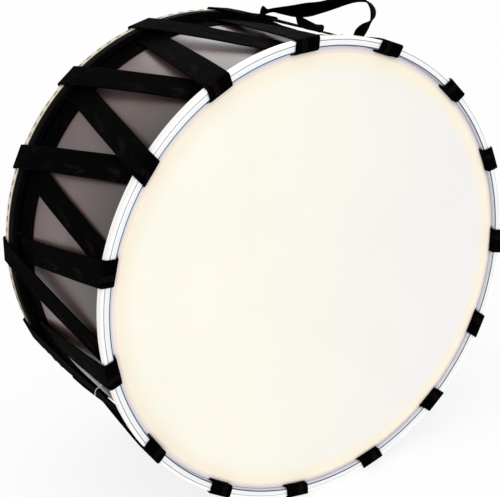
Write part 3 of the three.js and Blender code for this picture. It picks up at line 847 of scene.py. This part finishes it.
def webbing_section(width, thickness):
    """The webbing's section with rounded selvedges, as places across and above its middle."""
    thick = thickness / 2
    flat = width / 2 - thick
    half = [(flat * share, thick) for share in SECTION_SHARES]
    for quarter in (1, 2, 3):
        turn = math.pi * quarter / 4
        half.append((-flat - thick * math.sin(turn), thick * math.cos(turn)))
    return half + [(-x, -z) for x, z in half]


def band(name, stations, closed=False):
    """A webbing band with rounded selvedges through stations of (point, normal, across, width, thickness)."""
    points = []
    for place, normal, across, width, thickness in stations:
        section = webbing_section(width, thickness)
        points += [place + across * x + normal * z for x, z in section]
    along = distances([station[0] for station in stations], closed)
    # The weave's places across are those of the last section.
    girth = [x for x, _ in section + section[:1]]
    return make_solid(name, points, *skin(along, girth, closed), polypropylene_webbing)


def cord_tube(name, places, normals):
    """The round cord through points that each have a normal square to the cord."""
    points = []
    for i, place in enumerate(places):
        before, after = neighbours(places, i)
        tangent = (after - before).normalized()
        side = tangent.cross(normals[i]).normalized()
        up = side.cross(tangent).normalized()
        for k in range(CORD_SIDES):
            turn = 2 * math.pi * k / CORD_SIDES
            points.append(place + side * math.cos(turn) * CORD_RADIUS + up * math.sin(turn) * CORD_RADIUS)
    girth = [2 * math.pi * CORD_RADIUS * k / CORD_SIDES for k in range(CORD_SIDES + 1)]
    return make_solid(name, points, *skin(distances(places), girth), waxed_cord)


def dress(made, slot, *nodes, body=DRUM_BODY):
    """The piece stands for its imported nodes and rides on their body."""
    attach(made, body)
    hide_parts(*nodes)


# The lacing's geometry


class Leg(NamedTuple):
    """One pass of the lacing: its angles, whether it goes over each hoop, and whether it is tied."""

    front: float
    rear: float
    over_front: bool
    over_rear: bool
    tied: bool


def lacing_legs():
    """The legs in their order round the drum, two from each front loop."""
    legs = []
    half = LOOP_COUNT // 2
    change = (SCHEME_CHANGE_INDEX + 1) * LOOP_PITCH
    for i in range(LOOP_COUNT):
        front = (SCHEME_CHANGE_INDEX - i) * LOOP_PITCH
        for side in (-1, 1):
            rear = front + side * HALF_PITCH
            first = side < 0
            over_front = first if i <= half else not first
            over_rear = i == half or not over_front
            if front % 360 == change and rear % 360 < change:
                over_rear = False
            legs.append(Leg(front, rear, over_front, over_rear, (front, rear) == TIED_LEG))
    return legs


def leg_at(front, rear):
    """The leg that runs between two angles."""
    for leg in lacing_legs():
        if (leg.front - front) % 360 == 0 and (leg.rear - rear) % 360 == 0:
            return leg
    raise ValueError("no lacing leg runs between these angles")


def loop_side(radius, middle, face_y, exit_y):
    """Radius and depth from the middle of a loop's face, round its corner, to where the leg leaves it."""
    side = 1 if radius > middle else -1
    inwards = 1 if exit_y > face_y else -1
    path = [(middle, face_y), ((middle + radius - side * WEBBING_BEND) / 2, face_y)]
    for turn in range(0, 91, 15):
        along = WEBBING_BEND * (1 - math.sin(math.radians(turn)))
        back = WEBBING_BEND * (1 - math.cos(math.radians(turn)))
        path.append((radius - side * along, face_y + inwards * back))
    path.append((radius, (face_y + inwards * WEBBING_BEND + exit_y) / 2))
    path.append((radius, exit_y))
    return path


def leg_path(leg):
    """Radius and depth along a leg, from the middle of the front loop's face to that of the rear one's."""
    front = OVER_FRONT_RADIUS if leg.over_front else UNDER_FRONT_RADIUS
    rear = OVER_REAR_RADIUS if leg.over_rear else UNDER_REAR_RADIUS
    span = []
    for i in range(1, SPAN_STEPS):
        share = i / SPAN_STEPS
        y = FRONT_EXIT_Y + (REAR_EXIT_Y - FRONT_EXIT_Y) * share
        radius = front + (rear - front) * share
        if leg.tied:
            # The strap draws this leg up: it rises to the front tie and runs straight from there.
            rise = min(1, (y - FRONT_EXIT_Y) / (TIED_START_Y - FRONT_EXIT_Y))
            fall = min(1, (REAR_EXIT_Y - y) / (REAR_EXIT_Y - TIED_START_Y))
            radius += TIE_LIFT * rise * rise * (3 - 2 * rise) * fall
        span.append((radius, y))
    front_side = loop_side(front, (OVER_FRONT_RADIUS + UNDER_FRONT_RADIUS) / 2, STRAP_FRONT_Y, FRONT_EXIT_Y)
    rear_side = loop_side(rear, (OVER_REAR_RADIUS + UNDER_REAR_RADIUS) / 2, STRAP_REAR_Y, REAR_EXIT_Y)
    return front_side + span + rear_side[::-1]


def leg_stations(leg, seed):
    """Stations of one leg, with the slight ripple of webbing pulled tight by hand."""
    path = leg_path(leg)
    reached = distances(path)
    slant = math.atan(math.radians(abs(leg.rear - leg.front)) * sizes().shell_radius / reached[-1])
    width = sizes().webbing_width / math.cos(slant)

    def uneven(share, waves, step, row):
        """Noise along the leg that dies away towards both loops. Each use has its own waves and row."""
        free = min(1, max(0, (min(share, 1 - share) - STILL_SHARE) / GROWING_SHARE))
        return free * noise.noise(Vector((share * waves, seed * step, row)))

    stations = []
    for i, (radius, y) in enumerate(path):
        share = reached[i] / reached[-1]
        lift = RIPPLE_HEIGHT * uneven(share, 7, 3.7, 0)
        drift = RIPPLE_DRIFT * uneven(share, 3, 5.1, 9)
        tilt = RIPPLE_TILT * uneven(share, 5, 2.3, 4)
        angle = leg.front + (leg.rear - leg.front) * share + math.degrees(drift / MEAN_RADIUS)
        before, after = neighbours(path, i)
        heading = Vector((after[0] - before[0], after[1] - before[1])).normalized()
        tangent = outward(angle) * heading.x + REAR * heading.y
        across = -around(angle)
        normal = across.cross(tangent).normalized()
        across = (across + normal * tilt).normalized()
        place = drum_point(radius + lift, angle, y)
        stations.append((place, normal, across, width, sizes().webbing_thickness))
    return stations


def leg_crossing(leg, y):
    """The point, outward normal and direction of a leg's middle where it crosses a depth."""
    path = leg_path(leg)
    reached = distances(path)
    for i in range(len(path) - 1):
        (r0, y0), (r1, y1) = path[i : i + 2]
        if y0 < y <= y1:
            share = (y - y0) / (y1 - y0)
            a0, a1 = (leg.front + (leg.rear - leg.front) * part / reached[-1] for part in reached[i : i + 2])
            start, end = drum_point(r0, a0, y0), drum_point(r1, a1, y1)
            tangent = (end - start).normalized()
            across = (-around(a0)).lerp(-around(a1), share)
            return start.lerp(end, share), across.cross(tangent).normalized(), tangent
    raise ValueError("the leg doesn't cross this depth")


# Pieces


class DAVUL_OT_shell(bpy.types.Operator):
    """Bent plywood shell, lacquered outside, with a bevelled edge at both ends"""

    bl_idname = "davul.shell"
    bl_label = "Shell"

    def execute(self, context):
        outer = sizes().shell_radius
        inner = outer - sizes().shell_wall
        bevel = outer - BEVEL_WIDTH
        front = [(inner, SHELL_FRONT_Y), (bevel, SHELL_FRONT_Y), (outer, SHELL_FRONT_Y + BEVEL_DROP)]
        rear = [(outer, SHELL_REAR_Y - BEVEL_DROP), (bevel, SHELL_REAR_Y), (inner, SHELL_REAR_Y)]
        made = turned_ring("shell_plywood", rounded_profile(front + rear, rounding=0.8), lacquered_veneer)
        dress(made, "shell_lacquer", "shell")
        return {"FINISHED"}


class DAVUL_OT_reinforcing_rings(bpy.types.Operator):
    """Beech rings glued inside both ends of the shell"""

    bl_idname = "davul.reinforcing_rings"
    bl_label = "Reinforcing rings"

    def execute(self, context):
        outer = sizes().shell_radius - sizes().shell_wall - GLUE_GAP
        radii = (outer - sizes().reinforcing_wall, outer)
        depth = sizes().reinforcing_depth
        for name, node, front_y in (
            ("front_ring_beech", "front_reinforcing_ring", SHELL_FRONT_Y),
            ("rear_ring_beech", "rear_reinforcing_ring", SHELL_REAR_Y - depth),
        ):
            profile = hoop_profile(radii, front_y, front_y + depth, rounding=1.2)
            made = turned_ring(name, profile, planed_beech)
            dress(made, "bare_wood", node)
        return {"FINISHED"}


def slot_middles(legs, depth):
    """The angles at which legs pass a depth."""
    return [angle_of(leg_crossing(leg, depth)[0]) for leg in legs]


def slotted_head(name, path, opening, middles, wrinkle, thickness, finish):
    """A thin head turned from a path of (radius, y), open between two radii where webbing goes through."""
    steps = sizes().ring_segments
    half = math.degrees((sizes().webbing_width / 2 + SLOT_CLEARANCE) / sizes().shell_radius)
    angles = [360 * step / steps for step in range(steps)]
    for middle in middles:
        angles = [angle for angle in angles if abs(apart(angle, middle) - half) > SLOT_SNAP]
        angles += [(middle - half) % 360, (middle + half) % 360]
    angles.sort()
    (_, centre_y), *rim = path
    points = [drum_point(0, 0, centre_y)]
    for angle in angles:
        points += [drum_point(radius, angle, y + wrinkle(radius, angle)) for radius, y in rim]
    faces = []
    for k, angle in enumerate(angles):
        following = (k + 1) % len(angles)
        between = angle + (angles[following] - angle) % 360 / 2
        in_slot = any(apart(between, middle) < half for middle in middles)
        a, b = 1 + k * len(rim), 1 + following * len(rim)
        faces.append((0, b, a))
        for i, (radius, _) in enumerate(rim[:-1]):
            if not (in_slot and opening[0] <= radius < opening[1]):
                faces.append((a + i, b + i, b + i + 1, a + i + 1))
    uvs = [tuple((points[v].x, points[v].z) for v in face) for face in faces]
    made = make_object(name, points, faces, uvs, finish)
    wall = made.modifiers.new("thickness", "SOLIDIFY")
    wall.thickness = thickness * MM
    wall.offset = 0
    return made


class DAVUL_OT_front_head(bpy.types.Operator):
    """Frosted film head with a gap at each webbing loop"""

    bl_idname = "davul.front_head"
    bl_label = "Front head"

    def execute(self, context):
        thickness = sizes().film_thickness
        y = FILM_Y + thickness / 2
        path = [(radius, y) for radius in HEAD_RADII] + [(radius, y + drop) for radius, drop in FILM_SLOPE]

        def wrinkle(radius, angle):
            near = max(0, (radius - FILM_UNEVEN_FROM) / FILM_UNEVEN_OVER)
            return FILM_UNEVEN_HEIGHT * near * noise.noise(Vector((angle * 0.25, radius * 0.05, 3)))

        middles = slot_middles([leg for leg in lacing_legs() if not leg.over_front], FILM_SLOT_Y)
        made = slotted_head("head_film", path, FILM_OPENING, middles, wrinkle, thickness, frosted_polyester)
        dress(made, "head_film", "front_head_film")
        return {"FINISHED"}


class DAVUL_OT_front_hoops(bpy.types.Operator):
    """Aluminium hoop of the film head, and the white hoop round it"""

    bl_idname = "davul.front_hoops"
    bl_label = "Front hoops"

    def execute(self, context):
        profile = hoop_profile(ALUMINIUM_HOOP, FRONT_Y, FRONT_Y + ALUMINIUM_DEPTH, rounding=1.3, steps=6)
        made = turned_ring("aluminium_hoop", profile, anodised_aluminium)
        dress(made, "hoop_aluminium", "front_flesh_hoop")
        profile = hoop_profile(WHITE_HOOP, FRONT_Y, FRONT_Y + WHITE_DEPTH, rounding=1.5, steps=6)
        made = turned_ring("white_hoop", profile, white_enamel)
        dress(made, "white_hoop_paint", "front_counter_hoop")
        return {"FINISHED"}


class DAVUL_OT_rear_head(bpy.types.Operator):
    """Rawhide head that dips to its hoop and laps round it, with the hoop inside the lap"""

    bl_idname = "davul.rear_head"
    bl_label = "Rear head"

    def execute(self, context):
        thickness = sizes().hide_thickness
        y = HIDE_Y - thickness / 2
        path = [(radius, y) for radius in HEAD_RADII] + [(radius, y + dip) for radius, dip in HIDE_DIP]
        path += HIDE_LAP

        def wrinkle(radius, angle):
            if not HIDE_UNEVEN[0] <= radius <= HIDE_UNEVEN[1]:
                return 0
            return HIDE_UNEVEN_HEIGHT * noise.noise(Vector((angle * 0.3, radius * 0.06, 1)))

        middles = slot_middles([leg for leg in lacing_legs() if not leg.over_rear], HIDE_SLOT_Y)
        made = slotted_head("hide_head", path, HIDE_OPENING, middles, wrinkle, thickness, rawhide)
        dress(made, "hide", "rear_head_hide", "rear_hide_lap")
        profile = hoop_profile(LAP_HOOP, LAP_HOOP_FRONT_Y, LAP_HOOP_REAR_Y, rounding=1.2)
        made = turned_ring("lap_hoop_beech", profile, planed_beech)
        dress(made, "bare_wood", "rear_flesh_hoop")
        return {"FINISHED"}


class DAVUL_OT_stitching(bpy.types.Operator):
    """Running stitches of waxed thread round the lapped hide"""

    bl_idname = "davul.stitching"
    bl_label = "Stitching"

    def execute(self, context):
        count = sizes().stitch_count
        half = sizes().stitch_length / 2
        order = random.Random(STITCH_SEED)
        along = [STITCH_RING_LENGTH * i for i in range(STITCH_RINGS)]
        girth = [STITCH_SIDE_WIDTH * k for k in range(STITCH_SIDES + 1)]
        points, faces, uvs = [], [], []
        for number in range(count):
            middle = 360 * number / count + order.uniform(-STITCH_JITTER, STITCH_JITTER)
            y = STITCH_Y + order.uniform(-STITCH_JITTER, STITCH_JITTER)
            slant = order.uniform(-STITCH_SLANT, STITCH_SLANT)
            more_faces, more_uvs = skin(along, girth, base=len(points))
            faces += more_faces
            uvs += more_uvs
            for i in range(STITCH_RINGS):
                # The ends dive into the hide and the middle stands just proud of it.
                t = 2 * i / (STITCH_RINGS - 1) - 1
                angle = middle + math.degrees(half * t / STITCH_CIRCLE)
                centre = drum_point(STITCH_RADIUS - STITCH_DIVE * t**4, angle, y + slant * half * t)
                thick = THREAD_RADIUS * max(math.sqrt(1 - t**4), 0.15)
                for k in range(STITCH_SIDES):
                    turn = 2 * math.pi * k / STITCH_SIDES
                    off = outward(angle) * math.cos(turn) + REAR * math.sin(turn)
                    points.append(centre + off * thick)
        made = make_solid("lap_stitches", points, faces, uvs, waxed_thread)
        dress(made, "thread", "rear_stitching")
        return {"FINISHED"}


class DAVUL_OT_black_hoop(bpy.types.Operator):
    """Black painted wooden hoop in front of the lapped hide"""

    bl_idname = "davul.black_hoop"
    bl_label = "Black hoop"

    def execute(self, context):
        profile = hoop_profile(BLACK_HOOP, BLACK_HOOP_FRONT_Y, BLACK_HOOP_REAR_Y, rounding=1.8, steps=6)
        made = turned_ring("black_hoop", profile, black_enamel)
        dress(made, "black_hoop_paint", "rear_counter_hoop")
        return {"FINISHED"}


class DAVUL_OT_girth_band(bpy.types.Operator):
    """Band of webbing round the shell, under the lacing"""

    bl_idname = "davul.girth_band"
    bl_label = "Girth band"

    def execute(self, context):
        width = sizes().webbing_width
        radius = sizes().shell_radius + GIRTH_LIFT
        steps = sizes().ring_segments
        stations = []
        for step in range(steps):
            angle = 360 * step / steps
            turn = math.radians(angle)
            drift = GIRTH_DRIFT * noise.noise(Vector((math.cos(turn) * 2, math.sin(turn) * 2, 5)))
            place = drum_point(radius, angle, GIRTH_REAR_Y - width / 2 + drift)
            stations.append((place, outward(angle), REAR, width, GIRTH_THICKNESS))
        made = band("girth_webbing", stations, closed=True)
        dress(made, "webbing", "girth_band")
        return {"FINISHED"}


class DAVUL_OT_lacing(bpy.types.Operator):
    """Webbing that laces the two hoops together, one piece for each leg"""

    bl_idname = "davul.lacing"
    bl_label = "Lacing"

    def execute(self, context):
        for number, leg in enumerate(lacing_legs(), 1):
            made = band(f"lacing_webbing_{number:02d}", leg_stations(leg, number))
            dress(made, "webbing", f"lacing_leg_{number:02d}")
        return {"FINISHED"}


def strap_plane():
    """The carrying strap's plane: its front and rear ties, and the directions along, up and across."""
    leg = leg_at(*TIED_LEG)
    front = leg_crossing(leg, FRONT_TIE_Y)
    rear = leg_crossing(leg, REAR_TIE_Y)
    along = (rear[0] - front[0]).normalized()
    up = front[1] + rear[1]
    up = (up - along * up.dot(along)).normalized()
    return front, rear, along, up, along.cross(up)


def strap_stations(route):
    """Stations along the strap or its tail, from a route in the strap's plane."""
    front, _, along, up, across = strap_plane()
    rows = smooth_rows(route, STRAP_STEPS)
    stations = []
    for i, (distance, height, shift, width, twist) in enumerate(rows):
        before, after = neighbours(rows, i)
        slope = Vector([after[k] - before[k] for k in range(3)]).normalized()
        flat = Vector((slope.x, slope.y)).normalized()
        tangent = along * slope.x + up * slope.y + across * slope.z
        turn = math.radians(min(LARGEST_TWIST, max(0, twist)))
        normal = (along * -flat.y + up * flat.x) * math.sin(turn) + across * math.cos(turn)
        normal = (normal - tangent * normal.dot(tangent)).normalized()
        place = front[0] + along * distance + up * height + across * shift
        stations.append((place, normal, normal.cross(tangent), width, sizes().webbing_thickness))
    return stations


def tie_stations(point, normal, tangent):
    """Stations round the leg, for the webbing that is turned round it."""
    thick = sizes().webbing_thickness
    half = sizes().webbing_width / 2 + TIE_SIDE_GAP
    reach = thick + TIE_FACE_GAP
    across = normal.cross(tangent)
    outline = []
    for side in (1, -1):
        for turn in range(-90, 91, 15):
            t = math.radians(turn)
            outline.append((side * (half + reach * math.cos(t)), side * reach * math.sin(t)))
    stations = []
    for i, (x, z) in enumerate(outline):
        before, after = outline[i - 1], outline[(i + 1) % len(outline)]
        heading = Vector((after[0] - before[0], after[1] - before[1])).normalized()
        out = across * heading.y - normal * heading.x
        stations.append((point + across * x + normal * z, out, tangent, TIE_LENGTH, thick))
    return stations


class DAVUL_OT_carrying_strap(bpy.types.Operator):
    """Carrying strap that arches over its leg, and the webbing turned round the leg at both ends"""

    bl_idname = "davul.carrying_strap"
    bl_label = "Carrying strap"

    def execute(self, context):
        made = band("carrying_webbing", strap_stations(STRAP_ROUTE))
        dress(made, "webbing", "shoulder_strap", body=STRAP_BODY)
        made = band("tail_webbing", strap_stations(TAIL_ROUTE))
        dress(made, "webbing", "strap_tail")
        front, rear, *_ = strap_plane()
        for name, node, crossing in (
            ("front_tie_webbing", "front_strap_tie", front),
            ("rear_tie_webbing", "rear_strap_tie", rear),
        ):
            made = band(name, tie_stations(*crossing), closed=True)
            dress(made, "webbing", node)
        return {"FINISHED"}


class DAVUL_OT_pale_cord(bpy.types.Operator):
    """Thin pale cord hitched round one lacing leg"""

    bl_idname = "davul.pale_cord"
    bl_label = "Pale cord"

    def execute(self, context):
        start = angle_of(leg_crossing(leg_at(*CORD_LEG), CORD_Y)[0])
        places, normals = [], []
        for distance, radius in smooth_rows(CORD_ROUTE, CORD_STEPS):
            angle = start - math.degrees(distance * math.sin(CORD_SLANT) / sizes().shell_radius)
            places.append(drum_point(radius, angle, CORD_Y - distance * math.cos(CORD_SLANT)))
            heading = around(angle) * -math.sin(CORD_SLANT) + REAR * -math.cos(CORD_SLANT)
            normals.append(outward(angle).cross(heading).normalized())
        made = cord_tube("pale_cord", places, normals)
        dress(made, "cord", "tie_cord")
        return {"FINISHED"}


def background_rays(tree):
    """One for the rays that show the background: the camera's, and those from glossy and clear surfaces."""
    rays = add_node(tree, "LightPath").outputs
    seen = add_node(tree, "Math", {0: rays["Is Camera Ray"], 1: rays["Is Glossy Ray"]}, operation="MAXIMUM")
    shown = add_node(
        tree, "Math", {0: seen.outputs["Value"], 1: rays["Is Transmission Ray"]}, operation="MAXIMUM"
    )
    return shown.outputs["Value"]


def add_floor():
    """A plain white floor that keeps the drum's shadow."""
    bpy.ops.mesh.primitive_plane_add(size=FLOOR_SIZE, location=(0, 0, 0))
    floor = bpy.context.object
    floor.name = "studio_floor"
    material, tree = new_material("white_floor")
    paint = add_node(tree, "BsdfDiffuse", {"Color": (*linear("#F9F9F9"), 1)}).outputs["BSDF"]
    glow = add_node(tree, "Emission", {"Color": (1, 1, 1, 1), "Strength": 1}).outputs["Emission"]
    share = add_node(tree, "Math", {0: background_rays(tree), 1: FLOOR_GLOW}, operation="MULTIPLY")
    mixed = add_node(tree, "MixShader", {0: share.outputs["Value"], 1: paint, 2: glow}).outputs["Shader"]
    add_node(tree, "OutputMaterial", {"Surface": mixed})
    floor.data.materials.append(material)


def add_world(scene):
    """An even studio light from all round, which shows as plain white behind the drum."""
    scene.world = bpy.data.worlds.new("studio")
    scene.world.use_nodes = True
    tree = scene.world.node_tree
    tree.nodes.clear()
    strength = add_node(tree, "MapRange", {"Value": background_rays(tree), "To Min": WORLD_STRENGTH})
    sky = add_node(tree, "Background", {"Color": (1, 1, 1, 1), "Strength": strength.outputs["Result"]})
    add_node(tree, "OutputWorld", {"Surface": sky.outputs["Background"]})


def add_lamps(scene):
    """Soft, even light from in front, above and behind."""
    for name, direction, power, softness in LAMPS:
        lamp = bpy.data.lights.new(name, "SUN")
        lamp.energy = power
        lamp.angle = math.radians(softness)
        light = bpy.data.objects.new(name, lamp)
        light.rotation_mode = "QUATERNION"
        light.rotation_quaternion = Vector(direction).to_track_quat("-Z", "Y")
        scene.collection.objects.link(light)


def add_camera(scene):
    """The camera at the photograph's place."""
    lens = bpy.data.cameras.new("photograph_camera")
    lens.sensor_width = SENSOR_WIDTH
    lens.lens = LENS_LENGTH
    camera = bpy.data.objects.new("photograph_camera", lens)
    place = (CAMERA_PLACE + Vector((0, 0, AXIS_HEIGHT))) * MM
    turned = Matrix((CAMERA_RIGHT, CAMERA_UP, CAMERA_BACK)).transposed().to_4x4()
    camera.matrix_world = Matrix.Translation(place) @ turned
    scene.collection.objects.link(camera)
    scene.camera = camera


class DAVUL_OT_stage(bpy.types.Operator):
    """White floor, soft light and the camera at the photograph's place"""

    bl_idname = "davul.stage"
    bl_label = "Stage"

    def execute(self, context):
        context.scene.view_settings.view_transform = "Standard"
        add_floor()
        add_world(context.scene)
        add_lamps(context.scene)
        add_camera(context.scene)
        return {"FINISHED"}


class DAVUL_PT_panel(bpy.types.Panel):
    """Lists the drum's pieces and their sizes and colours"""

    bl_idname = "DAVUL_PT_panel"
    bl_label = "Davul"
    bl_space_type = "VIEW_3D"
    bl_region_type = "UI"
    bl_category = "Davul"

    def draw(self, context):
        layout = self.layout
        for group in (context.scene.davul_sizes, context.scene.davul_colours):
            box = layout.box()
            for name in group.bl_rna.properties.keys():
                if name not in ("rna_type", "name"):
                    box.prop(group, name)
        for operator in OPERATORS:
            layout.operator(operator.bl_idname)


OPERATORS = (
    DAVUL_OT_stage,
    DAVUL_OT_shell,
    DAVUL_OT_reinforcing_rings,
    DAVUL_OT_front_head,
    DAVUL_OT_front_hoops,
    DAVUL_OT_rear_head,
    DAVUL_OT_stitching,
    DAVUL_OT_black_hoop,
    DAVUL_OT_girth_band,
    DAVUL_OT_lacing,
    DAVUL_OT_carrying_strap,
    DAVUL_OT_pale_cord,
)
CLASSES = (DavulSizes, DavulColours, *OPERATORS, DAVUL_PT_panel)


def register():
    for kind in CLASSES:
        bpy.utils.register_class(kind)
    bpy.types.Scene.davul_sizes = PointerProperty(type=DavulSizes)
    bpy.types.Scene.davul_colours = PointerProperty(type=DavulColours)


def unregister():
    del bpy.types.Scene.davul_colours
    del bpy.types.Scene.davul_sizes
    for kind in reversed(CLASSES):
        bpy.utils.unregister_class(kind)


def main():
    register()
    for operator in OPERATORS:
        group, action = operator.bl_idname.split(".")
        getattr(getattr(bpy.ops, group), action)()
    bpy.context.view_layer.update()


if __name__ == "__main__":
    main()
